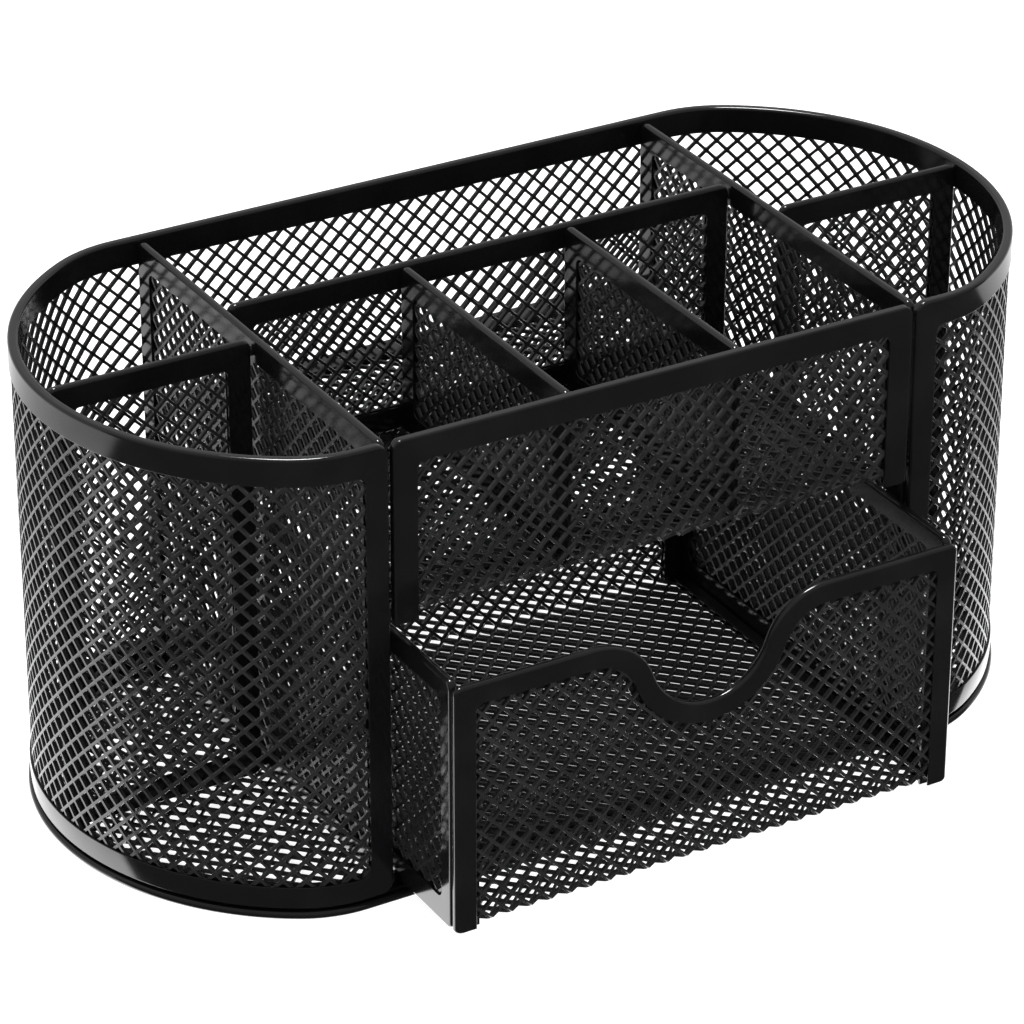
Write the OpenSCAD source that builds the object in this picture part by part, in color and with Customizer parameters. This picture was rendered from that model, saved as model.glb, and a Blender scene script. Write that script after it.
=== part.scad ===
// Desk organizer of black wire mesh: an oblong open body with round ends, upright
// dividers, a shallow tray over a drawer bay, and one sliding drawer.
// Millimetres, +Z up. The origin is the centre of the body's underside, and the front faces -Y.
// Each mesh panel is a plain sheet of the mesh's outline, held in the slot of a folded band.

/* [Body] */
// Length of the body, from round end to round end
body_length = 220; // [200:1:260]
// Depth of the body, from front to back
body_depth = 109.4; // [100:0.1:120]
// Height of the body, to the top of the rim
body_height = 104; // [95:1:120]
// Half length of the straight front and back
straight_half = 67.2; // [65:0.1:70]
// Radius of the corner between the straight side and the round end
corner_r = 27.1; // [20:0.1:35]
// Turn of that corner, in degrees
corner_turn = 30.7; // [25:0.1:35]

/* [Bands] */
// Thickness of the wall's folded bands
wall_band_t = 2.2; // [1.8:0.1:3]
// Height of the wall's rim
rim_h = 6; // [4:0.1:8]
// Height of the wall's bottom band
foot_band_h = 5.2; // [4:0.1:7]
// Width of the upright bands and of the dividers' bands
band_w = 5.4; // [4:0.1:7]
// Thickness of the dividers' bands
divider_t = 1.8; // [1.6:0.1:2.4]
// Thickness of a mesh panel
mesh_t = 0.8; // [0.5:0.1:1]

/* [Base] */
// Height of the round bead around the base
bead_h = 1.8; // [1.2:0.1:2.4]
// How far the bead stands out of the wall
bead_out = 0.5; // [0:0.1:1]
// Height of the top of the flat floor band
floor_band_top = 2.2; // [2:0.1:2.4]
// Width of the flat floor band, from the wall's outer face
floor_band_w = 6.5; // [5:0.1:8]

/* [Dividers] */
// Distance of each cross divider from the middle
cross_x = 61.35; // [61.3:0.05:61.5]
// Height of the top of the dividers
divider_top = 103.5; // [98:0.1:104]
// Distance of the partition behind the middle
partition_y = 15.7; // [5:0.1:25]
// Distance of each small divider from the middle
small_x = 19.6; // [15:0.1:25]

/* [Tray] */
// Height of the tray's mesh floor
tray_z = 65; // [63:0.1:75]
// Half width of the tray's front panel
tray_half = 60.1; // [59:0.1:60.2]
// Width of the flat band along the tray's rear edge
tray_rear_w = 6.5; // [5:0.1:8]

/* [Drawer] */
// Half width of the drawer
drawer_half = 58.8; // [57:0.1:59.5]
// Depth of the drawer
drawer_depth = 103.5; // [90:0.1:106]
// Height of the top of the drawer's front
drawer_front_top = 59.4; // [55:0.1:61]
// Height of the top of the drawer's sides and back
drawer_side_top = 60; // [55:0.1:61]
// Height of the drawer's underside
drawer_bottom = 3; // [2.7:0.1:3.5]
// How far the drawer stands out of the body
drawer_out = 21.3; // [0:0.1:80]
// Width of the band along the drawer's top edges
drawer_band_w = 4.6; // [4:0.1:6]
// Width of the flat bands along the drawer floor's side edges
drawer_floor_band_w = 3.3; // [2:0.1:5]

/* [Finger scoop] */
// Radius of the scoop's hollow
scoop_r = 14; // [10:0.1:18]
// Radius of the shoulders beside the scoop
shoulder_r = 14.8; // [10:0.1:18]
// Height of the centre of the scoop's hollow
scoop_z = 53.9; // [50:0.1:56]

/* [Hidden] */
$fn = 96;

band_colour = [0.03, 0.03, 0.035];
mesh_colour = [0.06, 0.06, 0.065];

half_length = body_length / 2;
half_depth = body_depth / 2;
// The round end's radius and centre follow from the corner arc, so that the arcs are tangent.
end_r = (half_depth - corner_r * (1 - cos(corner_turn))) / cos(corner_turn);
end_x = half_length - end_r;
corner_x = end_x + (end_r - corner_r) * sin(corner_turn);
end_sweep = 90 - corner_turn;

arc_steps = 32;

front_y = -half_depth;
rim_z = body_height - rim_h;
rim_round = wall_band_t / 2;
foot_band_z = floor_band_top;
front_band_x0 = 61;
front_band_x1 = 66.2;
wall_mesh_out = 0.7;
wall_mesh_in = wall_mesh_out + mesh_t;
inner_y = half_depth - wall_band_t;
floor_mesh_top = bead_h - 0.2;

// How deep a mesh panel's edge lies inside its band, and the rounding of the bands' corners.
slot_edge = 0.6;
wall_mesh_foot = foot_band_z + slot_edge;
corner_round = 2;
window_round = 1.5;
cross_face = cross_x - divider_t / 2;

weld_r = 0.8;
end_divider_x0 = 62.9;
end_divider_x1 = end_x + sqrt(pow(end_r - wall_band_t, 2) - pow(divider_t / 2, 2));
partition_half = 59.9;
partition_t = 2;

front_t = 2;
tray_top_band_h = 5.6;
tray_floor_bottom = tray_z - mesh_t / 2;
tray_foot_z = tray_floor_bottom - 1;
tray_floor_top = tray_z + mesh_t / 2;
tray_rear_y = half_depth - wall_mesh_in;
tray_rear_t = 1.6;

drawer_front_z = 3.3;
drawer_side_band_w = 4.8;
drawer_foot_band_h = 5.9;
drawer_upright_w = 4;
drawer_inner = drawer_half - front_t;
drawer_floor_bottom = drawer_bottom + 0.4;
drawer_floor_band_t = 1.6;
drawer_back_y = front_y + drawer_depth;
shoulder_z = drawer_front_top - shoulder_r;
shoulder_x = sqrt(pow(scoop_r + shoulder_r, 2) - pow(scoop_z - shoulder_z, 2));

// ---- Shapes shared by several sub-parts ----

// One straight stretch of the body's outline; the child is a profile of [outward, up].
module straight_run(x0, x1, front) {
    translate([x0, 0, 0])
        mirror([0, front ? 1 : 0, 0])
            translate([0, half_depth, 0])
                rotate([90, 0, 90])
                    linear_extrude(x1 - x0)
                        children();
}

// One arc of the body's outline, of the same kind of profile.
module arc_run(centre, radius, start, sweep) {
    translate(centre)
        rotate([0, 0, start])
            rotate_extrude(angle = sweep)
                translate([radius, 0])
                    children();
}

// The outline from x0 on the front, around both round ends and along the back.
module outline_run(x0) {
    for (side = [0, 1])
        mirror([side, 0, 0]) {
            straight_run(x0, corner_x, true)
                children();
            arc_run([corner_x, corner_r - half_depth, 0], corner_r, -90, corner_turn)
                children();
            arc_run([end_x, 0, 0], end_r, -end_sweep, 2 * end_sweep)
                children();
            arc_run([corner_x, half_depth - corner_r, 0], corner_r, end_sweep, corner_turn)
                children();
            straight_run(0, corner_x, false)
                children();
        }
}

function arc_points(centre, radius, start, sweep) = [
    for (step = [0:arc_steps])
        let (angle = start + sweep * step / arc_steps)
            centre + radius * [cos(angle), sin(angle)]
];

// The outline around the right-hand end, moved in by the given distance.
function end_points(inset) = concat(
    arc_points([corner_x, corner_r - half_depth], corner_r - inset, -90, corner_turn),
    arc_points([end_x, 0], end_r - inset, -end_sweep, 2 * end_sweep),
    arc_points([corner_x, half_depth - corner_r], corner_r - inset, end_sweep, corner_turn));

// The plan inside the outline, moved in by the given distance: the ends mirror each other.
module outline_plan(inset) {
    right = end_points(inset);
    polygon(concat(right, -right));
}

// A rectangle from low to high with round corners.
module rounded_rect(low, high, r) {
    size = high - low;
    translate(low + [r, 0])
        square(size - [2 * r, 0]);
    translate(low + [0, r])
        square(size - [0, 2 * r]);
    for (x = [low.x + r, high.x - r])
        for (y = [low.y + r, high.y - r])
            translate([x, y])
                circle(r);
}

// A plate that stands across X: its drawing is [y, z], and its middle plane is at x.
module plate_across_x(x, t) {
    translate([x - t / 2, 0, 0])
        rotate([90, 0, 90])
            linear_extrude(t)
                children();
}

// A plate that stands across Y: its drawing is [x, z], and its middle plane is at y.
module plate_across_y(y, t) {
    translate([0, y + t / 2, 0])
        rotate([90, 0, 0])
            linear_extrude(t)
                children();
}

// The four folded bands around a rectangular panel, drawn flat.
module frame_drawing(low, high, band, foot) {
    difference() {
        rounded_rect(low, high, corner_round);
        rounded_rect(low + [band, foot], high - [band, band], window_round);
    }
}

// The mesh inside those bands, drawn flat.
module panel_drawing(low, high) {
    edge = [slot_edge, slot_edge];
    translate(low + edge)
        square(high - low - 2 * edge);
}

// A spot of weld between two bands, lying along X from x0 to x1.
module weld_spot(x0, x1, y, z) {
    translate([x0, y, z])
        rotate([0, 90, 0])
            cylinder(h = x1 - x0, r = weld_r);
}

// ---- Wall ----

module wall_mesh() {
    color(mesh_colour)
        outline_run(front_band_x0 + slot_edge)
            translate([-wall_mesh_in, wall_mesh_foot])
                square([mesh_t, body_height - 1 - wall_mesh_foot]);
}

module wall_top_rim() {
    color(band_colour)
        outline_run(front_band_x1)
            difference() {
                union() {
                    translate([-wall_band_t, rim_z])
                        square([wall_band_t, rim_h - rim_round]);
                    translate([-rim_round, body_height - rim_round])
                        circle(rim_round);
                }
                translate([-wall_mesh_in, 0])
                    square([mesh_t, body_height - 1]);
            }
}

module wall_bottom_band() {
    color(band_colour)
        outline_run(front_band_x1)
            difference() {
                translate([-wall_band_t, foot_band_z])
                    square([wall_band_t, foot_band_h]);
                translate([-wall_mesh_in, wall_mesh_foot])
                    square([mesh_t, body_height]);
            }
}

// The upright band beside the front opening, with the rim's rounded end as its top corner.
module wall_front_band(side) {
    color(band_colour)
        mirror([side, 0, 0])
            difference() {
                plate_across_y(front_y + wall_band_t / 2, wall_band_t)
                    difference() {
                        translate([front_band_x0, foot_band_z])
                            square([front_band_x1 - front_band_x0, body_height - foot_band_z]);
                        translate([front_band_x0, body_height - corner_round])
                            difference() {
                                square(corner_round);
                                translate([corner_round, 0])
                                    circle(corner_round);
                            }
                    }
                translate([front_band_x0 + slot_edge, front_y + wall_mesh_out, 0])
                    cube([band_w, mesh_t, body_height - 1]);
            }
}

module wall_front_band_left() {
    wall_front_band(1);
}

module wall_front_band_right() {
    wall_front_band(0);
}

// ---- Base ----

module base_ring() {
    color(band_colour)
        outline_run(0) {
            union() {
                translate([bead_out - bead_h / 2, bead_h / 2])
                    circle(bead_h / 2);
                translate([-wall_band_t, 0])
                    square([wall_band_t + bead_out - bead_h / 2, bead_h]);
                translate([-floor_band_w, floor_mesh_top])
                    square([floor_band_w - wall_mesh_in, floor_band_top - floor_mesh_top]);
            }
        }
}

module floor_mesh() {
    color(mesh_colour)
        linear_extrude(floor_mesh_top)
            outline_plan(wall_band_t);
}

// ---- Dividers of the body ----

module cross_divider_mesh(side) {
    color(mesh_colour)
        mirror([side, 0, 0])
            plate_across_x(cross_x, mesh_t)
                panel_drawing([-inner_y, foot_band_z], [inner_y, divider_top]);
}

module cross_divider_frame(side) {
    color(band_colour)
        difference() {
            mirror([side, 0, 0])
                plate_across_x(cross_x, divider_t)
                    frame_drawing([-inner_y, foot_band_z], [inner_y, divider_top], band_w, band_w);
            cross_divider_mesh(side);
        }
}

module end_divider_mesh(side) {
    color(mesh_colour)
        mirror([side, 0, 0])
            plate_across_y(0, mesh_t)
                panel_drawing([end_divider_x0, foot_band_z], [end_divider_x1, divider_top]);
}

module end_divider_frame(side) {
    color(band_colour)
        difference() {
            mirror([side, 0, 0])
                union() {
                    plate_across_y(0, divider_t)
                        frame_drawing([end_divider_x0, foot_band_z], [end_divider_x1, divider_top], band_w, band_w);
                    for (z = [foot_band_z + band_w / 2, divider_top - band_w / 2])
                        weld_spot(cross_x + divider_t / 2, end_divider_x0, 0, z);
                }
            end_divider_mesh(side);
        }
}

module cross_divider_left_mesh() {
    cross_divider_mesh(1);
}

module cross_divider_right_mesh() {
    cross_divider_mesh(0);
}

module cross_divider_left_frame() {
    cross_divider_frame(1);
}

module cross_divider_right_frame() {
    cross_divider_frame(0);
}

module end_divider_left_mesh() {
    end_divider_mesh(1);
}

module end_divider_right_mesh() {
    end_divider_mesh(0);
}

module end_divider_left_frame() {
    end_divider_frame(1);
}

module end_divider_right_frame() {
    end_divider_frame(0);
}

// ---- Dividers on the tray ----

module partition_mesh() {
    color(mesh_colour)
        plate_across_y(partition_y, mesh_t)
            panel_drawing([-partition_half, tray_floor_top], [partition_half, divider_top]);
}

module partition_frame() {
    color(band_colour)
        difference() {
            union() {
                plate_across_y(partition_y, partition_t)
                    frame_drawing(
                        [-partition_half, tray_floor_top], [partition_half, divider_top], band_w, band_w);
                for (side = [0, 1])
                    mirror([side, 0, 0])
                        weld_spot(partition_half, cross_face, partition_y, divider_top - band_w / 2);
            }
            partition_mesh();
        }
}

small_low = [front_y + front_t, tray_floor_top];
small_high = [partition_y - partition_t / 2, divider_top];

module small_divider_mesh(side) {
    color(mesh_colour)
        mirror([side, 0, 0])
            plate_across_x(small_x, mesh_t)
                panel_drawing(small_low, small_high);
}

module small_divider_frame(side) {
    color(band_colour)
        difference() {
            mirror([side, 0, 0])
                plate_across_x(small_x, divider_t)
                    frame_drawing(small_low, small_high, band_w, band_w);
            small_divider_mesh(side);
        }
}

module small_divider_left_mesh() {
    small_divider_mesh(1);
}

module small_divider_right_mesh() {
    small_divider_mesh(0);
}

module small_divider_left_frame() {
    small_divider_frame(1);
}

module small_divider_right_frame() {
    small_divider_frame(0);
}

// ---- Tray ----

// One sheet of mesh, bent from the tray's front panel into its floor.
module tray_mesh() {
    color(mesh_colour)
        union() {
            plate_across_y(front_y + front_t / 2, mesh_t)
                translate([-tray_half + slot_edge, tray_floor_bottom])
                    square([2 * (tray_half - slot_edge), body_height - slot_edge - tray_floor_bottom]);
            translate([-cross_face, front_y + front_t / 2, tray_floor_bottom])
                cube([2 * cross_face, tray_rear_y - slot_edge - front_y - front_t / 2, mesh_t]);
        }
}

module tray_front_frame() {
    color(band_colour)
        difference() {
            plate_across_y(front_y + front_t / 2, front_t)
                difference() {
                    rounded_rect([-tray_half, tray_z - band_w], [tray_half, body_height], corner_round);
                    translate([-tray_half, tray_z - band_w])
                        square([2 * tray_half, tray_foot_z - tray_z + band_w]);
                    rounded_rect(
                        [-tray_half + band_w, tray_z - band_w],
                        [tray_half - band_w, body_height - tray_top_band_h],
                        window_round);
                }
            tray_mesh();
        }
}

module tray_rear_band() {
    color(band_colour)
        difference() {
            translate([-cross_face, tray_rear_y - tray_rear_w, tray_z - tray_rear_t / 2])
                cube([2 * cross_face, tray_rear_w, tray_rear_t]);
            tray_mesh();
        }
}

// ---- Drawer, which stands out of the body by drawer_out ----

module at_drawer() {
    translate([0, -drawer_out, 0])
        children();
}

// The drawer's front with its finger scoop, moved in by the given distance.
module drawer_front_drawing(inset, side_inset, foot_z) {
    difference() {
        translate([side_inset - drawer_half, foot_z])
            square([2 * (drawer_half - side_inset), drawer_front_top - inset - foot_z]);
        scoop_drawing(inset);
    }
}

// What the scoop takes away: a hollow between two round shoulders.
module scoop_drawing(inset) {
    hollow_r = scoop_r + inset;
    bump_r = shoulder_r - inset;
    reach = scoop_r + shoulder_r;
    touch = [hollow_r * shoulder_x / reach, scoop_z - hollow_r * (scoop_z - shoulder_z) / reach];
    above = drawer_front_top + band_w;
    translate([0, scoop_z])
        circle(hollow_r);
    difference() {
        polygon([
            [-touch.x, touch.y],
            touch,
            [shoulder_x, shoulder_z + bump_r],
            [shoulder_x, above],
            [-shoulder_x, above],
            [-shoulder_x, shoulder_z + bump_r],
        ]);
        for (side = [-1, 1])
            translate([side * shoulder_x, shoulder_z])
                circle(bump_r);
    }
}

// One sheet of mesh, bent from the drawer's front into its floor and up into its back.
module drawer_mesh() {
    color(mesh_colour)
        at_drawer()
            union() {
                plate_across_y(front_y + front_t / 2, mesh_t)
                    drawer_front_drawing(slot_edge, slot_edge, drawer_floor_bottom);
                translate([-drawer_inner, front_y + front_t / 2, drawer_floor_bottom])
                    cube([2 * drawer_inner, drawer_depth - front_t, mesh_t]);
                plate_across_y(drawer_back_y - front_t / 2, mesh_t)
                    translate([-drawer_inner + slot_edge, drawer_floor_bottom])
                        square([
                            2 * (drawer_inner - slot_edge),
                            drawer_side_top - slot_edge - drawer_floor_bottom,
                        ]);
            }
}

module drawer_front_frame() {
    color(band_colour)
        difference() {
            at_drawer()
                plate_across_y(front_y + front_t / 2, front_t)
                    difference() {
                        drawer_front_drawing(0, 0, drawer_front_z);
                        drawer_front_drawing(drawer_band_w, drawer_side_band_w, 0);
                    }
            drawer_mesh();
        }
}

side_low = [front_y + front_t, drawer_bottom];
side_high = [drawer_back_y, drawer_side_top];

module drawer_side_mesh(side) {
    color(mesh_colour)
        at_drawer()
            mirror([side, 0, 0])
                plate_across_x(drawer_half - front_t / 2, mesh_t)
                    panel_drawing(side_low, side_high);
}

// The side's folded band, and the flat band that holds the floor's edge beside it.
module drawer_side_frame(side) {
    color(band_colour)
        difference() {
            at_drawer()
                mirror([side, 0, 0]) {
                    plate_across_x(drawer_half - front_t / 2, front_t)
                        difference() {
                            rounded_rect(side_low, side_high, corner_round);
                            rounded_rect(
                                side_low + [drawer_upright_w, drawer_foot_band_h],
                                side_high - [drawer_band_w, drawer_band_w],
                                window_round);
                        }
                    translate([drawer_inner - drawer_floor_band_w, side_low.x, drawer_bottom])
                        cube([drawer_floor_band_w, drawer_depth - 2 * front_t, drawer_floor_band_t]);
                }
            drawer_side_mesh(side);
            drawer_mesh();
        }
}

module drawer_side_left_mesh() {
    drawer_side_mesh(1);
}

module drawer_side_right_mesh() {
    drawer_side_mesh(0);
}

module drawer_side_left_frame() {
    drawer_side_frame(1);
}

module drawer_side_right_frame() {
    drawer_side_frame(0);
}

// The folded band over the back's sides and top; the mesh bends up from the floor between them.
module drawer_back_frame() {
    color(band_colour)
        difference() {
            at_drawer()
                plate_across_y(drawer_back_y - front_t / 2, front_t)
                    difference() {
                        rounded_rect([-drawer_inner, drawer_bottom], [drawer_inner, drawer_side_top], corner_round);
                        rounded_rect(
                            [drawer_band_w - drawer_inner, drawer_bottom - drawer_band_w],
                            [drawer_inner - drawer_band_w, drawer_side_top - drawer_band_w],
                            window_round);
                    }
            drawer_mesh();
        }
}

wall_mesh();
wall_top_rim();
wall_bottom_band();
wall_front_band_left();
wall_front_band_right();
base_ring();
floor_mesh();
cross_divider_left_mesh();
cross_divider_left_frame();
cross_divider_right_mesh();
cross_divider_right_frame();
end_divider_left_mesh();
end_divider_left_frame();
end_divider_right_mesh();
end_divider_right_frame();
partition_mesh();
partition_frame();
small_divider_left_mesh();
small_divider_left_frame();
small_divider_right_mesh();
small_divider_right_frame();
tray_mesh();
tray_front_frame();
tray_rear_band();
drawer_mesh();
drawer_front_frame();
drawer_side_left_mesh();
drawer_side_left_frame();
drawer_side_right_mesh();
drawer_side_right_frame();
drawer_back_frame();
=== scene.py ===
import math

import bmesh
import bpy
import numpy as np
from mathutils import Matrix, Vector


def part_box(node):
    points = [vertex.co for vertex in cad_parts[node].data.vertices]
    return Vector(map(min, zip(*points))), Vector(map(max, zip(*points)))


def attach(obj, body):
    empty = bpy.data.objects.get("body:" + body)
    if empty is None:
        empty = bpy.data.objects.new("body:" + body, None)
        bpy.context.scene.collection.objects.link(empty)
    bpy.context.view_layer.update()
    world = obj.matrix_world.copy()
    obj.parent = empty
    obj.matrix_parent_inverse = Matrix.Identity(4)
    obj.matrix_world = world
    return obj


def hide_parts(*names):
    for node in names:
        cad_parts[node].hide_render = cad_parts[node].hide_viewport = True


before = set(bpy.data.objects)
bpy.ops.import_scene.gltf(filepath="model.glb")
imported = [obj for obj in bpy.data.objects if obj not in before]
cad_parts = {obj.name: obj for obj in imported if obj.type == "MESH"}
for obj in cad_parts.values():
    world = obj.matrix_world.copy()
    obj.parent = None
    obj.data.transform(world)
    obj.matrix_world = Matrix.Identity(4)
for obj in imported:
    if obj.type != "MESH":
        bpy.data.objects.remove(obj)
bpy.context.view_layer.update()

MM = 0.001

# The mesh: square cells standing on their corners, cut from one sheet.
CELL = 4.565 * MM  # corner to corner
STRAND_FLAT = 0.30 * MM  # half width of a strand's flat face
STRAND_FULL = 0.37 * MM  # half width at the middle of its thickness
MESH_T = 0.8 * MM
HOLE_CORNER = 0.12 * MM  # half width of a cell's blunted corner
WALL_SHIFT = (1.1 * MM, 1.35 * MM)  # how the wall's cells lie to its bands
FLOOR_SHIFT = (-1.52 * MM, 0.75 * MM)  # how the base's cells lie to the drawer's

# The folded bands.
SLOT_EDGE = 0.6 * MM  # how far a panel's edge lies outside the edge of its mesh
SLOT_DEPTH = 1.4 * MM  # how far in from the panel's edge the slot starts
SLOT_T = 0.86 * MM
LIP_T = 0.35 * MM  # the lip in front of the mesh
LIP_ROUND = 0.16 * MM  # the rounding of a lip's free edge
LIP_BEVEL = 0.3 * LIP_ROUND  # where that rounding has its middle point
BAND_W = 5.4 * MM
DRAWER_BAND_W = 4.6 * MM
BAND_R = 2.0 * MM  # a band's outer corner
WINDOW_R = 1.5 * MM  # a band's inner corner, around the mesh
LEAST_R = 0.15 * MM  # a corner moved inward keeps at least this
FOOT_R = 0.8 * MM  # the rounded lower corners of the front frames
CORNER_STEPS = 6
ROUND_STEPS = 5
SHARP_ANGLE = math.radians(48)  # a band's edges stay sharp from this angle

# The body's outline, as in the design: a straight side, a corner arc and a round end.
HALF_LENGTH = 110.0 * MM
HALF_DEPTH = 54.7 * MM
CORNER_R = 27.1 * MM
CORNER_TURN = math.radians(30.7)
END_R = (HALF_DEPTH - CORNER_R * (1 - math.cos(CORNER_TURN))) / math.cos(CORNER_TURN)
END_X = HALF_LENGTH - END_R
CORNER_X = END_X + (END_R - CORNER_R) * math.sin(CORNER_TURN)
WALL_T = 2.2 * MM

# The scoop in the drawer's front: a hollow between two shoulders.
SCOOP_R = 14.0 * MM
SHOULDER_R = 14.8 * MM
SCOOP_Z = 53.9 * MM


# ---------------------------------------------------------------- materials


def principled(name, colour, roughness):
    """A material with one Principled shader, and that shader."""
    material = bpy.data.materials.new(name)
    material.use_nodes = True
    shader = material.node_tree.nodes["Principled BSDF"]
    shader.inputs["Base Color"].default_value = (*colour, 1)
    shader.inputs["Roughness"].default_value = roughness
    shader.inputs["IOR"].default_value = 1.5
    return material, shader


def noise(tree, coordinates, scale, detail):
    """A noise value over the object, with so many features to the metre."""
    node = tree.nodes.new("ShaderNodeTexNoise")
    node.inputs["Scale"].default_value = scale
    node.inputs["Detail"].default_value = detail
    tree.links.new(coordinates.outputs["Object"], node.inputs["Vector"])
    return node.outputs["Fac"]


def ramp(tree, value, low, high, colours):
    """Colours between low and high of a value."""
    node = tree.nodes.new("ShaderNodeValToRGB")
    node.color_ramp.elements[0].position = low
    node.color_ramp.elements[1].position = high
    for element, colour in zip(node.color_ramp.elements, colours):
        element.color = (*colour, 1)
    tree.links.new(value, node.inputs["Fac"])
    return node.outputs["Color"]


def span(tree, value, low, high):
    """A value from 0 to 1, brought to between low and high."""
    node = tree.nodes.new("ShaderNodeMapRange")
    node.inputs["To Min"].default_value = low
    node.inputs["To Max"].default_value = high
    tree.links.new(value, node.inputs["Value"])
    return node.outputs["Result"]


def band_enamel():
    """Black baked enamel on folded steel: a faint orange peel, dust and handling marks."""
    material, shader = principled("band_enamel", (0.008, 0.008, 0.009), 0.2)
    tree = material.node_tree
    coordinates = tree.nodes.new("ShaderNodeTexCoord")
    dust = noise(tree, coordinates, 55, 5)
    clean, dusty = (0.0045, 0.0045, 0.005), (0.008, 0.008, 0.0085)
    tree.links.new(ramp(tree, dust, 0.45, 0.75, [clean, dusty]), shader.inputs["Base Color"])
    handling = noise(tree, coordinates, 130, 4)
    tree.links.new(span(tree, handling, 0.07, 0.17), shader.inputs["Roughness"])
    peel = tree.nodes.new("ShaderNodeBump")
    peel.inputs["Strength"].default_value = 0.05
    peel.inputs["Distance"].default_value = 0.0001
    orange_peel = noise(tree, coordinates, 420, 2)
    tree.links.new(orange_peel, peel.inputs["Height"])
    tree.links.new(peel.outputs["Normal"], shader.inputs["Normal"])
    return material


def mesh_enamel_painted_sheen():
    """The same enamel on the mesh, with a paler base colour that is painted sheen for the strands'
    highlights, and random dust.
    """
    material, shader = principled("mesh_enamel_painted_sheen", (0.008, 0.008, 0.009), 0.22)
    tree = material.node_tree
    coordinates = tree.nodes.new("ShaderNodeTexCoord")
    dust = noise(tree, coordinates, 90, 4)
    # Both colours are paler than the bands': painted sheen standing in for the highlights along the
    # strands, with random dust between them.
    clean, dusty = (0.014, 0.014, 0.015), (0.022, 0.022, 0.023)
    tree.links.new(ramp(tree, dust, 0.4, 0.8, [clean, dusty]), shader.inputs["Base Color"])
    return material


def floor_paper():
    """A pale sweep, lit evenly from within like a light table, so that it throws almost no shadow."""
    material, shader = principled("floor_paper", (0.5, 0.5, 0.5), 0.9)
    shader.inputs["Emission Color"].default_value = (1, 1, 1, 1)
    shader.inputs["Emission Strength"].default_value = 0.9
    shader.inputs["Specular IOR Level"].default_value = 0.0
    return material


BAND_ENAMEL = band_enamel()
MESH_ENAMEL_PAINTED_SHEEN = mesh_enamel_painted_sheen()


# ---------------------------------------------------------------- surfaces


def flat_surface(origin, along_u, along_v):
    """A plane: (u, v) in metres to points and normals."""
    origin, along_u, along_v = (np.array(v, float) for v in (origin, along_u, along_v))
    normal = np.cross(along_u, along_v)

    def at(u, v):
        points = origin + np.outer(u, along_u) + np.outer(v, along_v)
        return points, np.tile(normal, (len(points), 1))

    return at


def bent_surface(y_front, y_back, z_floor, radius):
    """A sheet bent from a front panel, v > 0, through a fold into a floor, v < 0, and through a
    second fold up into a back. u runs along X, and the normals point out of the tray it makes."""
    fold = radius * math.pi / 2
    floor = y_back - y_front - 2 * radius

    def at(u, v):
        gone = -v
        first = np.clip(gone / radius, 0, math.pi / 2)
        second = np.clip((gone - fold - floor) / radius, 0, math.pi / 2)
        along = np.clip(gone - fold, 0, floor)
        y = y_front + radius * (1 - np.cos(first)) + along + radius * np.sin(second)
        z = z_floor + radius * (1 - np.sin(first)) + radius * (1 - np.cos(second))
        z += np.maximum(v, 0) + np.maximum(gone - 2 * fold - floor, 0)
        turn = first + second
        normals = np.column_stack([np.zeros_like(u), -np.cos(turn), -np.sin(turn)])
        return np.column_stack([u, y, z]), normals

    return at


def outline_arcs(offset):
    """The three arcs of the body's right end and of its left end, counterclockwise, at an offset
    outward; each is its centre, radius, first angle and turn."""
    corner_y = HALF_DEPTH - CORNER_R
    end_turn = 2 * (math.pi / 2 - CORNER_TURN)
    ends = []
    for side in (1, -1):
        first = -math.pi / 2 if side > 0 else math.pi / 2
        second = first + CORNER_TURN
        third = second + end_turn
        ends.append([
            ((side * CORNER_X, -side * corner_y), CORNER_R + offset, first, CORNER_TURN),
            ((side * END_X, 0), END_R + offset, second, end_turn),
            ((side * CORNER_X, side * corner_y), CORNER_R + offset, third, CORNER_TURN),
        ])
    return ends


def outline_surface(offset):
    """The wall at an offset outward, and its length around: u is the way round from the middle of
    the front, and v is the height."""
    right, left = outline_arcs(offset)
    edge = HALF_DEPTH + offset
    stretches = [("line", (0, -edge), (1, 0), CORNER_X)]
    stretches += [("arc", *arc) for arc in right]
    stretches += [("line", (CORNER_X, edge), (-1, 0), 2 * CORNER_X)]
    stretches += [("arc", *arc) for arc in left]
    stretches += [("line", (-CORNER_X, -edge), (1, 0), CORNER_X)]
    lengths = [s[3] if s[0] == "line" else s[2] * s[4] for s in stretches]
    starts = np.concatenate([[0], np.cumsum(lengths)])

    def at(u, v):
        points = np.zeros((len(u), 3))
        normals = np.zeros((len(u), 3))
        which = np.clip(np.searchsorted(starts, u, side="right") - 1, 0, len(stretches) - 1)
        for k, stretch in enumerate(stretches):
            here = which == k
            along = (u - starts[k])[here]
            if stretch[0] == "line":
                _, start, way, _ = stretch
                points[here, 0] = start[0] + along * way[0]
                points[here, 1] = start[1] + along * way[1]
                normals[here, 1] = -way[0]
            else:
                _, centre, radius, angle, _ = stretch
                turn = angle + along / radius
                normals[here, 0] = np.cos(turn)
                normals[here, 1] = np.sin(turn)
                points[here, 0] = centre[0] + radius * np.cos(turn)
                points[here, 1] = centre[1] + radius * np.sin(turn)
        points[:, 2] = v
        return points, normals

    return at, starts[-1]


# ---------------------------------------------------------------- mesh code


def new_piece(name, vertices, faces, material, body, nodes):
    """A mesh object in the row frame that rides on a body and stands for CAD nodes."""
    mesh = bpy.data.meshes.new(name)
    mesh.from_pydata(vertices, [], faces)
    mesh.update()
    mesh.materials.append(material)
    piece = bpy.data.objects.new(name, mesh)
    bpy.context.scene.collection.objects.link(piece)
    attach(piece, body)
    if nodes:
        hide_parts(*nodes)
    return piece


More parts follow.
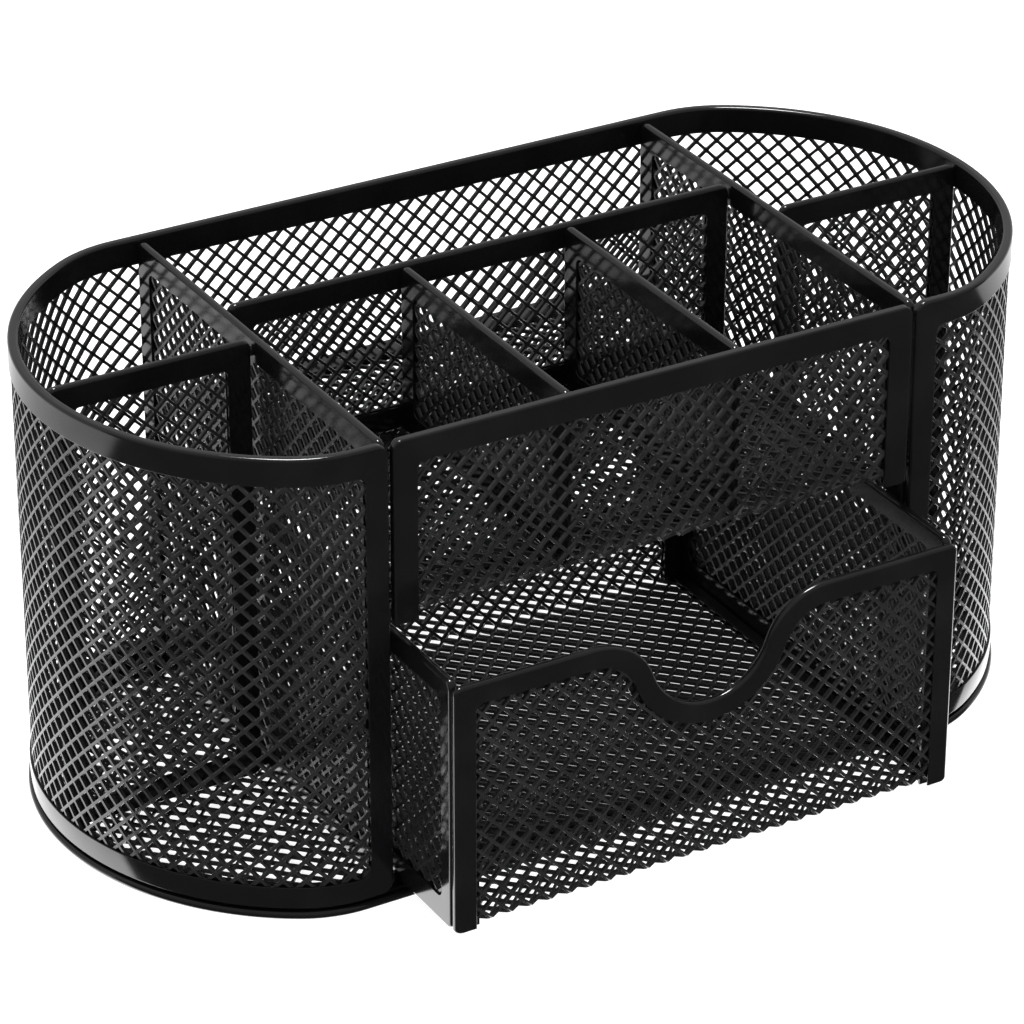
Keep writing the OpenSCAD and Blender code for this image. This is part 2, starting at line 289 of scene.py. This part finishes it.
def lattice(name, surface, low, high, body, nodes, keep=None, height=0.0, shift=(0, 0)):
    """Diamond cells between low and high of the surface, raised by height and moved by shift within
    it; keep(u, v) says which cells stay."""
    half = CELL / 2
    count = [int((high[k] - low[k]) / half) for k in (0, 1)]
    start = [low[k] + (high[k] - low[k] - count[k] * half) / 2 + shift[k] for k in (0, 1)]
    across, up = np.meshgrid(np.arange(1, count[0]), np.arange(1, count[1]), indexing="ij")
    chosen = (across + up) % 2 == 0
    a, b = across[chosen], up[chosen]
    if keep is not None:
        stay = keep(start[0] + a * half, start[1] + b * half)
        a, b = a[stay], b[stay]

    # Shared corners, on the strands' centre lines.
    corner_steps = np.array([(1, 0), (0, 1), (-1, 0), (0, -1)])
    corner_keys = np.stack([np.stack([a + du, b + dv], -1) for du, dv in corner_steps], 1)
    unique, index = np.unique(corner_keys.reshape(-1, 2), axis=0, return_inverse=True)
    index = index.reshape(-1, 4)
    corners = len(unique)

    # Each cell's own rings of eight points: front edge, mid thickness, back edge.
    cells = len(a)
    ring_points = []
    for side in (STRAND_FLAT, STRAND_FULL, STRAND_FLAT):
        reach = half - side * math.sqrt(2)
        c = HOLE_CORNER
        far = reach - c
        ring_points.append([(far, -c), (far, c), (c, far), (-c, far),
                            (-far, c), (-far, -c), (-c, -far), (c, -far)])
    levels = (height + MESH_T / 2, height, height - MESH_T / 2)

    us = [start[0] + unique[:, 0] * half] * 2
    vs = [start[1] + unique[:, 1] * half] * 2
    ws = [np.full(corners, levels[0]), np.full(corners, levels[2])]
    for ring, level in zip(ring_points, levels):
        ring = np.array(ring)
        us.append((start[0] + a[:, None] * half + ring[None, :, 0]).ravel())
        vs.append((start[1] + b[:, None] * half + ring[None, :, 1]).ravel())
        ws.append(np.full(cells * 8, level))
    u, v, w = (np.concatenate(part) for part in (us, vs, ws))
    points, normals = surface(u, v)
    vertices = points + normals * w[:, None]

    # The strands' front and back faces, four strands around each cell.
    faces = []
    for layer, ring_at in ((0, 0), (1, 2)):
        corner = index + layer * corners
        ring = 2 * corners + (ring_at * cells + np.arange(cells))[:, None] * 8 + np.arange(8)
        for k in range(4):
            after = (k + 1) % 4
            quad = [corner[:, k], corner[:, after], ring[:, (2 * k + 2) % 8], ring[:, 2 * k + 1]]
            tip = [corner[:, k], ring[:, 2 * k + 1], ring[:, 2 * k]]
            if layer == 1:
                quad.reverse()
                tip.reverse()
            faces += np.stack(quad, 1).tolist()
            faces += np.stack(tip, 1).tolist()

    # The inside of each cell, from ring to ring.
    for upper in (0, 1):
        ring = 2 * corners + (upper * cells + np.arange(cells))[:, None] * 8 + np.arange(8)
        under = ring + cells * 8
        for k in range(8):
            after = (k + 1) % 8
            faces += np.stack([ring[:, k], ring[:, after], under[:, after], under[:, k]], 1).tolist()

    piece = new_piece(name, vertices, faces, MESH_ENAMEL_PAINTED_SHEEN, body, nodes)
    add_flat_uv(piece.data, u, v)
    return piece


def add_flat_uv(mesh, u, v):
    """The sheet laid flat, as its texture layout."""
    size = max(np.ptp(u), np.ptp(v))
    layer = mesh.uv_layers.new(name="OFBake")
    loops = np.zeros(len(mesh.loops), dtype=np.int64)
    mesh.loops.foreach_get("vertex_index", loops)
    flat = np.column_stack([(u - u.min()) / size, (v - v.min()) / size])[loops]
    layer.data.foreach_set("uv", flat.ravel().astype(np.float32))


def arc_2d(centre, radius, start, sweep, steps):
    """Points along an arc, both ends among them."""
    angles = start + sweep * np.arange(steps + 1) / steps
    return [(centre[0] + radius * math.cos(t), centre[1] + radius * math.sin(t)) for t in angles]


def quarter_turn(steps):
    """The angles from nothing to a quarter turn."""
    return [math.pi / 2 * k / steps for k in range(steps + 1)]


def corner_radius(share, extra, outer_r, inner_r):
    """A band's corner radius at share (0 outer edge, 1 inner edge), moved inward by extra."""
    return max((inner_r if share else outer_r) - extra, LEAST_R)


def rect_loop(low, high, widths, outer_r, inner_r, step=0.0):
    """A closed loop around a panel. widths are the bands' left, right, foot and top; the loop lies
    at share (0 outer edge, 1 inner edge) of each band's width, moved inward by extra. With a step,
    the straight sides are cut into pieces about that long."""

    def loop(share, extra):
        left, right, foot, top = (share * width + extra for width in widths)
        x0, x1 = low[0] + left, high[0] - right
        y0, y1 = low[1] + foot, high[1] - top
        r = corner_radius(share, extra, outer_r, inner_r)
        points = []
        corners = ((x1 - r, y0 + r), (x1 - r, y1 - r), (x0 + r, y1 - r), (x0 + r, y0 + r))
        for k, centre in enumerate(corners):
            points += arc_2d(centre, r, math.pi / 2 * (k - 1), math.pi / 2, CORNER_STEPS)
        if step:
            points = subdivided(points, step, outer=(high[0] - low[0], high[1] - low[1]))
        return np.array(points)

    return loop


def subdivided(points, step, outer):
    """The loop's four straight sides cut into even lengths, the same number on every loop of a band."""
    per_corner = CORNER_STEPS + 1
    result = []
    for k in range(4):
        after = per_corner * (k + 1)
        corner = points[after - per_corner:after]
        result += corner
        here, there = np.array(corner[-1]), np.array(points[after % len(points)])
        pieces = max(1, round(outer[1 if k % 2 == 0 else 0] / step))
        result += [tuple(here + (there - here) * j / pieces) for j in range(1, pieces)]
    return result


def mesh_height(thickness):
    """How far the mesh lies in front of the middle of a band of that thickness."""
    return thickness / 2 - LIP_T - SLOT_T / 2


def channel_profile(thickness, back_extra=0.0, fold_share=0.85):
    """The folded band's section, as (share of the width, extra, height above its middle): a thin
    lip, the fold around the panel's edge, a deeper lip behind the mesh, and the slot between them.
    back_extra makes the back lip wider, and fold_share says how round the fold is."""
    h = thickness / 2
    fold = fold_share * h
    slot_top = h - LIP_T
    slot_foot = slot_top - SLOT_T
    front = [(1, 0, slot_top), (1, 0, h - LIP_ROUND), (1, -LIP_BEVEL, h - LIP_BEVEL), (1, -LIP_ROUND, h)]
    rounding = [(0, fold * (1 - math.sin(t)), h - fold * (1 - math.cos(t)))
                for t in quarter_turn(ROUND_STEPS)]
    back_rounding = [(share, extra, -height) for share, extra, height in reversed(rounding)]
    back = [(1, back_extra - LIP_ROUND, -h), (1, back_extra - LIP_BEVEL, LIP_BEVEL - h),
            (1, back_extra, LIP_ROUND - h), (1, back_extra, slot_foot)]
    slot = [(0, SLOT_DEPTH, slot_foot), (0, SLOT_DEPTH, slot_top)]
    return front + rounding + back_rounding + back + slot


def band(name, surface, loop, profile, body, nodes, closed=True):
    """A folded band: its section carried around a loop."""
    rows = []
    for share, extra, height in profile:
        flat = loop(share, extra)
        points, normals = surface(flat[:, 0], flat[:, 1])
        rows.append(points + normals * height)
    return swept(name, rows, body, nodes, closed)


def swept(name, rows, body, nodes, closed):
    """A closed section, one row of points for each of its corners."""
    count = len(rows[0])
    vertices = np.concatenate(rows)
    faces = []
    for k in range(len(rows)):
        here, there = k * count, (k + 1) % len(rows) * count
        for j in range(count if closed else count - 1):
            after = (j + 1) % count
            faces.append((here + j, here + after, there + after, there + j))
    if not closed:
        faces.append([k * count for k in range(len(rows))])
        faces.append([k * count + count - 1 for k in reversed(range(len(rows)))])
    piece = new_piece(name, vertices, faces, BAND_ENAMEL, body, nodes)
    make_normals_outward(piece.data)
    piece.data.shade_smooth()
    piece.data.set_sharp_from_angle(angle=SHARP_ANGLE)
    weights = piece.modifiers.new("face_weights", "WEIGHTED_NORMAL")
    weights.keep_sharp = True
    return piece


def make_normals_outward(mesh):
    """Turn every face of a closed mesh outward."""
    work = bmesh.new()
    work.from_mesh(mesh)
    bmesh.ops.recalc_face_normals(work, faces=work.faces)
    work.to_mesh(mesh)
    work.free()


def weld(name, place):
    """A small pressed spot of weld on the body, a squashed drop with a dimple."""
    size = (0.75 * MM, 0.85 * MM, 1.3 * MM)
    rings, around = 7, 16
    vertices = []
    for i in range(rings + 1):
        t = math.pi * i / rings
        pinch = 1 + 0.12 * math.cos(3 * t)
        for j in range(around):
            p = 2 * math.pi * j / around
            wave = 1 + 0.06 * math.sin(3 * p + 2 * t)
            vertices.append((
                place[0] + size[0] * math.cos(t) * pinch,
                place[1] + size[1] * math.sin(t) * math.cos(p) * wave,
                place[2] + size[2] * math.sin(t) * math.sin(p) * wave))
    faces = []
    for i in range(rings):
        here, there = i * around, (i + 1) * around
        for j in range(around):
            after = (j + 1) % around
            faces.append((here + j, here + after, there + after, there + j))
    piece = new_piece(name, vertices, faces, BAND_ENAMEL, "body", [])
    make_normals_outward(piece.data)
    piece.data.shade_smooth()
    return piece


# ---------------------------------------------------------------- the body's wall and base


def build_wall():
    """The mesh around the ends and back, and the band folded over all its edges."""
    upright_w, rim_w, frame_r, window_r = 5.2 * MM, 6.0 * MM, 2.6 * MM, 1.6 * MM
    surface, length = outline_surface(-WALL_T / 2)
    foot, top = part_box("wall_bottom_band")[0][2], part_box("wall_top_rim")[1][2]
    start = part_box("wall_front_band_right")[0][0]
    end = length - start
    middle = length / 2
    inset = SLOT_EDGE
    height = mesh_height(WALL_T)

    # One row less at the top, for the shift. The left half leaves out the last column for it.
    lattice_low, lattice_high = (start + inset, foot + inset), (end - inset, top - inset - CELL / 2)
    lattice("wall_net_right", surface, lattice_low, lattice_high, "body", ["wall_mesh"],
            keep=lambda u, v: u <= middle, height=height, shift=WALL_SHIFT)
    lattice("wall_net_left", surface, lattice_low, lattice_high, "body", [],
            keep=lambda u, v: (u > middle) & (u < end - CELL), height=height, shift=WALL_SHIFT)
    loop = rect_loop((start, foot), (end, top), (upright_w, upright_w, upright_w, rim_w),
                     frame_r, window_r, step=2.0 * MM)
    band("wall_frame", surface, loop, channel_profile(WALL_T, fold_share=0.65), "body",
         ["wall_top_rim", "wall_bottom_band", "wall_front_band_left", "wall_front_band_right"])


def build_base():
    """The round bead under the wall, the flat floor band inside it, and the mesh floor."""
    surface, length = outline_surface(0)
    around = np.linspace(0, length, 400, endpoint=False)
    bead_r, bead_out = 0.9 * MM, -0.4 * MM
    flange_t, flange_edge, edge_round = 0.6 * MM, -6.5 * MM, 0.2 * MM
    flange_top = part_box("base_ring")[1][2]
    flange_foot = flange_top - flange_t

    # (out, up): around the bead from below, up its neck, and in along the flange and back.
    section = []
    for k in range(13):
        t = math.radians(-120 + 20 * k)
        section.append((bead_out + bead_r * math.cos(t), bead_r + bead_r * math.sin(t)))
    section += [(-1.3 * MM, 1.75 * MM), (-1.5 * MM, flange_top), (flange_edge + edge_round, flange_top),
                (flange_edge, flange_top - edge_round), (flange_edge, flange_foot),
                (-1.4 * MM, flange_foot)]
    rows = []
    for out, up in section:
        points, normals = surface(around, np.full(len(around), up))
        rows.append(points + normals * out)
    swept("base_ring_folded", rows, "body", ["base_ring"], closed=True)

    net_drop, hidden_edge = 0.35 * MM, 3.2 * MM
    low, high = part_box("floor_mesh")
    plane = flat_surface((0, 0, flange_foot - net_drop), (1, 0, 0), (0, 1, 0))
    lattice("floor_mesh_net", plane, low[:2], high[:2], "body", ["floor_mesh"],
            keep=lambda u, v: depth_inside_outline(u, v) > hidden_edge, shift=FLOOR_SHIFT)


def depth_inside_outline(x, y):
    """How far inside the body's outline a point of the plan lies."""
    x, y = np.abs(x), np.abs(y)
    depth = HALF_DEPTH - y
    turn = np.arctan2(x - END_X, y)
    by_end = END_R - np.hypot(x - END_X, y)
    by_corner = CORNER_R - np.hypot(x - CORNER_X, y - (HALF_DEPTH - CORNER_R))
    at_corner = (x > CORNER_X) & (turn < CORNER_TURN) & (y > HALF_DEPTH - CORNER_R)
    at_end = (turn >= CORNER_TURN) & (x > END_X)
    return np.where(at_end, by_end, np.where(at_corner, by_corner, depth))


# ---------------------------------------------------------------- flat panels


def panel(prefix, body, width, foot=None, front=None, thickness=None):
    """A flat divider or drawer wall: its mesh and the band folded over its four edges. foot and
    front are the widths of its lower band and of its upright nearest the front, where they differ.
    It returns the panel's lower and upper corners, along it and up."""
    low, high = (np.array(v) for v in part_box(prefix + "_mesh"))
    frame_low, frame_high = (np.array(v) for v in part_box(prefix + "_frame"))
    across = int(np.argmin(high - low))
    thickness = thickness or (frame_high - frame_low)[across]
    middle = (low + high) / 2
    if across == 0:
        origin, along = (middle[0], 0, 0), (0, -1, 0)
        span_u = (-high[1] - SLOT_EDGE, -low[1] + SLOT_EDGE)
    else:
        origin, along = (0, middle[1], 0), (1, 0, 0)
        span_u = (low[0] - SLOT_EDGE, high[0] + SLOT_EDGE)
    surface = flat_surface(origin, along, (0, 0, 1))
    corner_low = (span_u[0], low[2] - SLOT_EDGE)
    corner_high = (span_u[1], high[2] + SLOT_EDGE)
    inner = (SLOT_EDGE, SLOT_EDGE)
    lattice(prefix + "_net", surface, np.add(corner_low, inner), np.subtract(corner_high, inner),
            body, [prefix + "_mesh"], height=mesh_height(thickness))
    widths = (width, front or width, foot or width, width)
    loop = rect_loop(corner_low, corner_high, widths, BAND_R, WINDOW_R)
    band(prefix + "_band", surface, loop, channel_profile(thickness), body,
         [prefix + "_frame"])
    return corner_low, corner_high


def build_dividers():
    """The dividers and the partition, with the welds that hold them to the cross dividers."""
    end_gap, partition_gap = 0.3 * MM, 0.25 * MM
    for side, sign in (("left", -1), ("right", 1)):
        panel(f"cross_divider_{side}", "body", BAND_W)
        low, high = panel(f"end_divider_{side}", "body", BAND_W)
        inner = high[0] if sign < 0 else low[0]
        for k, z in enumerate((low[1] + BAND_W / 2, high[1] - BAND_W / 2)):
            weld(f"end_weld_{side}_{k}", (inner - sign * end_gap, 0, z))
        panel(f"small_divider_{side}", "body", BAND_W)
    low, high = panel("partition", "body", BAND_W)
    mesh_low, mesh_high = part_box("partition_mesh")
    y = (mesh_low[1] + mesh_high[1]) / 2
    for sign, x in ((-1, low[0]), (1, high[0])):
        weld(f"partition_weld_{sign + 1}", (x + sign * partition_gap, y, high[1] - BAND_W / 2))


# ---------------------------------------------------------------- the tray


def foot_corner(x, foot, radius, share):
    """The lower corner of an open frame's leg, from its tip upward, rounded on its outer edge (share
    0); x is positive."""
    points = []
    for t in quarter_turn(ROUND_STEPS):
        inward = 0 if share else radius * (1 - math.sin(t))
        points.append((x - inward, foot + radius * (1 - math.cos(t))))
    return points


def mirrored(points):
    """The same points on the other side of the middle."""
    return [(-x, z) for x, z in points]


def open_rect_loop(half, foot, top, width, top_width, outer_r, inner_r):
    """An inverted U around a panel, from its lower left to its lower right; the loop lies at share
    of the band's width, moved inward by extra."""

    def loop(share, extra):
        x = half - share * width - extra
        z = top - share * top_width - extra
        r = corner_radius(share, extra, outer_r, inner_r)
        leg = foot_corner(x, foot, FOOT_R, share)
        points = mirrored(leg)
        points += arc_2d((-x + r, z - r), r, math.pi, -math.pi / 2, CORNER_STEPS)
        points += arc_2d((x - r, z - r), r, math.pi / 2, -math.pi / 2, CORNER_STEPS)
        points += leg[::-1]
        return np.array(points)

    return loop


def build_tray():
    """The mesh bent from the front panel into the tray's floor, and its bands."""
    fold_r, top_band_w, end_gap = 1.3 * MM, 5.6 * MM, 0.1 * MM
    no_back = 1.0  # a second fold far behind, so that the floor stays flat
    low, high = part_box("tray_front_frame")
    thickness = high[1] - low[1]
    y_front = (low[1] + high[1]) / 2
    mesh_low, mesh_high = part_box("tray_mesh")
    height = mesh_height(thickness)
    z_net = mesh_low[2] + MESH_T / 2
    z_floor = z_net + height
    surface = bent_surface(y_front, y_front + no_back, z_floor, fold_r)
    panel_top = high[2] - z_floor - fold_r
    floor_end = -(mesh_high[1] - y_front - fold_r + fold_r * math.pi / 2)
    net_low = (low[0] + SLOT_EDGE, floor_end)
    net_high = (high[0] - SLOT_EDGE, panel_top - SLOT_EDGE)
    lattice("tray_net", surface, net_low, net_high, "body", ["tray_mesh"], height=height)
    front = flat_surface((0, y_front, 0), (1, 0, 0), (0, 0, 1))
    loop = open_rect_loop(high[0], low[2], high[2], BAND_W, top_band_w, BAND_R, WINDOW_R)
    band("tray_front_band", front, loop, channel_profile(thickness, fold_share=0.5), "body",
         ["tray_front_frame"], closed=False)
    rear_low, rear_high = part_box("tray_rear_band")
    rear_t = rear_high[2] - rear_low[2]
    flat = flat_surface((0, 0, z_net - mesh_height(rear_t)), (1, 0, 0), (0, 1, 0))

    def rear_loop(share, extra):
        y = rear_high[1] - share * (rear_high[1] - rear_low[1]) - extra
        return np.array([(rear_low[0] + end_gap, y), (rear_high[0] - end_gap, y)])

    band("tray_rear_fold", flat, rear_loop, channel_profile(rear_t), "body", ["tray_rear_band"],
         closed=False)


# ---------------------------------------------------------------- the drawer


def shoulder_centre(top):
    """Where the right shoulder of the scoop turns, touching the hollow and the top edge."""
    z = top - SHOULDER_R
    return math.sqrt((SCOOP_R + SHOULDER_R) ** 2 - (SCOOP_Z - z) ** 2), z


def scoop_loop(half, foot, top, width, top_width, outer_r, inner_r):
    """The drawer front's edge from its lower left, over the shoulders and the scoop, to its lower
    right; the loop lies at share of the band's width, moved inward by extra."""
    shoulder_x, shoulder_z = shoulder_centre(top)
    tilt = math.atan2(SCOOP_Z - shoulder_z, shoulder_x)

    def loop(share, extra):
        x = half - share * width - extra
        inset = share * top_width + extra
        z = top - inset
        r = corner_radius(share, extra, outer_r, inner_r)
        bump, hollow = SHOULDER_R - inset, SCOOP_R + inset
        leg = foot_corner(x, foot, FOOT_R, share)
        points = mirrored(leg)
        points += arc_2d((-x + r, z - r), r, math.pi, -math.pi / 2, CORNER_STEPS)
        points += arc_2d((-shoulder_x, shoulder_z), bump, math.pi / 2, -(math.pi / 2 - tilt), 14)
        points += arc_2d((0, SCOOP_Z), hollow, math.pi + tilt, math.pi - 2 * tilt, 28)[1:-1]
        points += arc_2d((shoulder_x, shoulder_z), bump, math.pi - tilt, -(math.pi / 2 - tilt), 14)
        points += arc_2d((x - r, z - r), r, math.pi / 2, -math.pi / 2, CORNER_STEPS)
        points += leg[::-1]
        return np.array(points)

    return loop


def depth_under_scoop(x, z, top):
    """How far below the drawer front's top edge, or inside it beside the scoop, a point lies."""
    shoulder_x, shoulder_z = shoulder_centre(top)
    x = np.abs(x)
    slope = (SCOOP_Z - shoulder_z) / shoulder_x
    in_hollow = z - SCOOP_Z < -slope * x
    from_hollow = np.hypot(x, z - SCOOP_Z) - SCOOP_R
    from_shoulder = SHOULDER_R - np.hypot(x - shoulder_x, z - shoulder_z)
    touch_x = SCOOP_R * math.cos(math.atan(slope))
    by_shoulder = (x < shoulder_x) & (z > shoulder_z)
    below_edge = np.where(by_shoulder, from_shoulder, top - z)
    near = np.where(x < touch_x, from_hollow, below_edge)
    far_outside = -1.0
    return np.where((x < touch_x) & ~in_hollow & (z > SCOOP_Z), far_outside, near)


def build_drawer():
    """One sheet of mesh makes the front, the floor and the back; each side is a panel of its own."""
    low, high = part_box("drawer_front_frame")
    thickness = high[1] - low[1]
    height = mesh_height(thickness)
    y_front = (low[1] + high[1]) / 2
    back_low, back_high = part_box("drawer_back_frame")
    y_back = (back_low[1] + back_high[1]) / 2
    z_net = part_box("drawer_mesh")[0][2] + MESH_T / 2
    z_floor = z_net + height
    fold_r, edge_cover = 1.6 * MM, 2.4 * MM
    front_band_w, front_r, wide_back_lip = 4.8 * MM, 1.6 * MM, 1.2 * MM
    surface = bent_surface(y_front, y_back, z_floor, fold_r)
    panel_top = high[2] - z_floor - fold_r
    floor_length = y_back - y_front - 2 * fold_r + math.pi * fold_r
    back_top = -(floor_length + back_high[2] - SLOT_EDGE - z_floor - fold_r)
    inner_x = back_high[0]

    def keep(u, v):
        z = v + z_floor + fold_r
        behind = (v < 0) & (np.abs(u) < inner_x - CELL / 2)
        on_front = (v >= 0) & (depth_under_scoop(u, z, high[2]) > edge_cover)
        return behind | on_front

    lattice("drawer_net", surface, (low[0] + SLOT_EDGE, back_top), (high[0] - SLOT_EDGE, panel_top),
            "drawer", ["drawer_mesh"], keep=keep, height=height)
    front = flat_surface((0, y_front, 0), (1, 0, 0), (0, 0, 1))
    loop = scoop_loop(high[0], low[2], high[2], front_band_w, DRAWER_BAND_W, front_r, WINDOW_R)
    band("drawer_front_band", front, loop, channel_profile(thickness, back_extra=wide_back_lip),
         "drawer", ["drawer_front_frame"], closed=False)
    back = flat_surface((0, y_back, 0), (-1, 0, 0), (0, 0, 1))
    loop = open_rect_loop(back_high[0], back_low[2], back_high[2], DRAWER_BAND_W, DRAWER_BAND_W,
                          BAND_R, WINDOW_R)
    band("drawer_back_band", back, loop, channel_profile(back_high[1] - back_low[1]), "drawer",
         ["drawer_back_frame"], closed=False)
    for side in ("left", "right"):
        panel(f"drawer_side_{side}", "drawer", DRAWER_BAND_W, foot=5.9 * MM, front=4.0 * MM,
              thickness=thickness)
        build_floor_edge(side, inner_x, z_net, (high[1], back_low[1]))


def build_floor_edge(side, inner_x, z_net, y_range):
    """The flat band that holds the drawer floor's side edge."""
    sign = -1 if side == "left" else 1
    thickness, width = 1.6 * MM, 3.3 * MM
    flat = flat_surface((0, 0, z_net + mesh_height(thickness)), (1, 0, 0), (0, -1, 0))

    def loop(share, extra):
        x = sign * (inner_x - share * width - extra)
        return np.array([(x, -y_range[0]), (x, -y_range[1])])

    band(f"drawer_floor_edge_{side}", flat, loop, channel_profile(thickness), "drawer", [],
         closed=False)


# ---------------------------------------------------------------- stage, light and camera


def build_stage():
    """A pale floor that curves up into a backdrop all around."""
    radius, reach, rise, rings, around = 6.0, 2.0, 5.0, 40, 96
    flat_share = 0.625  # of the rings
    vertices = [(0, 0, 0)]
    for i in range(1, rings + 1):
        t = i / rings
        turn = max(0, (t - flat_share) / (1 - flat_share)) * math.pi / 2
        r = radius * min(1, t / flat_share) + reach * math.sin(turn)
        z = rise * (1 - math.cos(turn))
        for j in range(around):
            p = 2 * math.pi * j / around
            vertices.append((r * math.cos(p), r * math.sin(p), z))
    faces = [(0, 1 + j, 1 + (j + 1) % around) for j in range(around)]
    for i in range(rings - 1):
        a, b = 1 + i * around, 1 + (i + 1) * around
        faces += [(a + j, b + j, b + (j + 1) % around, a + (j + 1) % around) for j in range(around)]
    mesh = bpy.data.meshes.new("floor")
    mesh.from_pydata(vertices, [], faces)
    mesh.shade_smooth()
    mesh.materials.append(floor_paper())
    floor = bpy.data.objects.new("floor", mesh)
    bpy.context.scene.collection.objects.link(floor)
    floor.visible_glossy = False


def build_world():
    """The studio around the object: dim in front, bright behind, and brightest low down beside it."""
    world = bpy.data.worlds.new("studio")
    bpy.context.scene.world = world
    world.use_nodes = True
    tree = world.node_tree
    background = tree.nodes["Background"]
    where = tree.nodes.new("ShaderNodeTexCoord")
    parts = tree.nodes.new("ShaderNodeSeparateXYZ")
    tree.links.new(where.outputs["Generated"], parts.inputs["Vector"])

    def math_node(kind, first, second):
        """A sum, difference or product of two numbers or sockets."""
        node = tree.nodes.new("ShaderNodeMath")
        node.operation = kind
        for socket, value in zip(node.inputs, (first, second)):
            if isinstance(value, (int, float)):
                socket.default_value = value
            else:
                tree.links.new(value, socket)
        return node.outputs[0]

    def smooth(value, low, high, at_low, at_high):
        """A soft step from one strength to another while the value goes from low to high."""
        node = tree.nodes.new("ShaderNodeMapRange")
        node.interpolation_type = "SMOOTHSTEP"
        node.inputs["From Min"].default_value = low
        node.inputs["From Max"].default_value = high
        node.inputs["To Min"].default_value = at_low
        node.inputs["To Max"].default_value = at_high
        tree.links.new(value, node.inputs["Value"])
        return node.outputs["Result"]

    behind = math_node("ADD", parts.outputs["Y"], math_node("MULTIPLY", parts.outputs["X"], 0.2))
    rear = smooth(behind, 0.07, 0.14, 0.0, 1.0)
    upper = smooth(parts.outputs["Z"], -0.12, 0.12, 1.2, 0.55)
    low_down = smooth(parts.outputs["Z"], -0.54, -0.46, 2.6, 0.0)
    beside = math_node("ADD", math_node("ABSOLUTE", parts.outputs["X"], 0.0), 0.45)
    by_height = math_node("ADD", upper, math_node("MULTIPLY", low_down, beside))
    front = smooth(parts.outputs["Z"], -0.2, 0.6, 0.08, 0.35)
    rear_light = math_node("MULTIPLY", rear, by_height)
    front_light = math_node("MULTIPLY", math_node("SUBTRACT", 1.0, rear), front)
    tree.links.new(math_node("ADD", rear_light, front_light), background.inputs["Strength"])
    background.inputs["Color"].default_value = (1, 1, 1, 1)


def build_lights():
    """One small bright light overhead, for the thin highlights along the rims."""
    light = bpy.data.lights.new("overhead", "AREA")
    light.shape = "RECTANGLE"
    light.size, light.size_y = 0.45, 0.45
    light.energy = 32
    lamp = bpy.data.objects.new("overhead", light)
    bpy.context.scene.collection.objects.link(lamp)
    lamp.location = (0.1, 0.3, 1.8)
    lamp.rotation_euler = (Vector((0, 0, 0.05)) - lamp.location).to_track_quat("-Z", "Y").to_euler()


def build_camera():
    """A long lens, looking down from the front left."""
    azimuth, elevation, roll = math.radians(-30.06), math.radians(28.433), math.radians(0.066)
    target = Vector((-2.173 * MM, 0, 47.676 * MM))
    distance = 1007.396 * MM
    sensor_mm, lens_mm = 36, 167.88284
    back = Vector((math.sin(azimuth) * math.cos(elevation), -math.cos(azimuth) * math.cos(elevation),
                   math.sin(elevation)))
    right = (-back).cross(Vector((0, 0, 1))).normalized()
    up = right.cross(-back)
    rolled_right = right * math.cos(roll) + up * math.sin(roll)
    rolled_up = -right * math.sin(roll) + up * math.cos(roll)
    data = bpy.data.cameras.new("camera")
    data.sensor_width = sensor_mm
    data.lens = lens_mm
    camera = bpy.data.objects.new("camera", data)
    bpy.context.scene.collection.objects.link(camera)
    turn = Matrix((rolled_right, rolled_up, back)).transposed().to_4x4()
    camera.matrix_world = Matrix.Translation(target + back * distance) @ turn
    bpy.context.scene.camera = camera
    data.clip_start = 0.05


build_camera()
build_stage()
build_world()
build_lights()
build_wall()
build_base()
build_dividers()
build_tray()
build_drawer()
bpy.context.scene.view_settings.view_transform = "Standard"
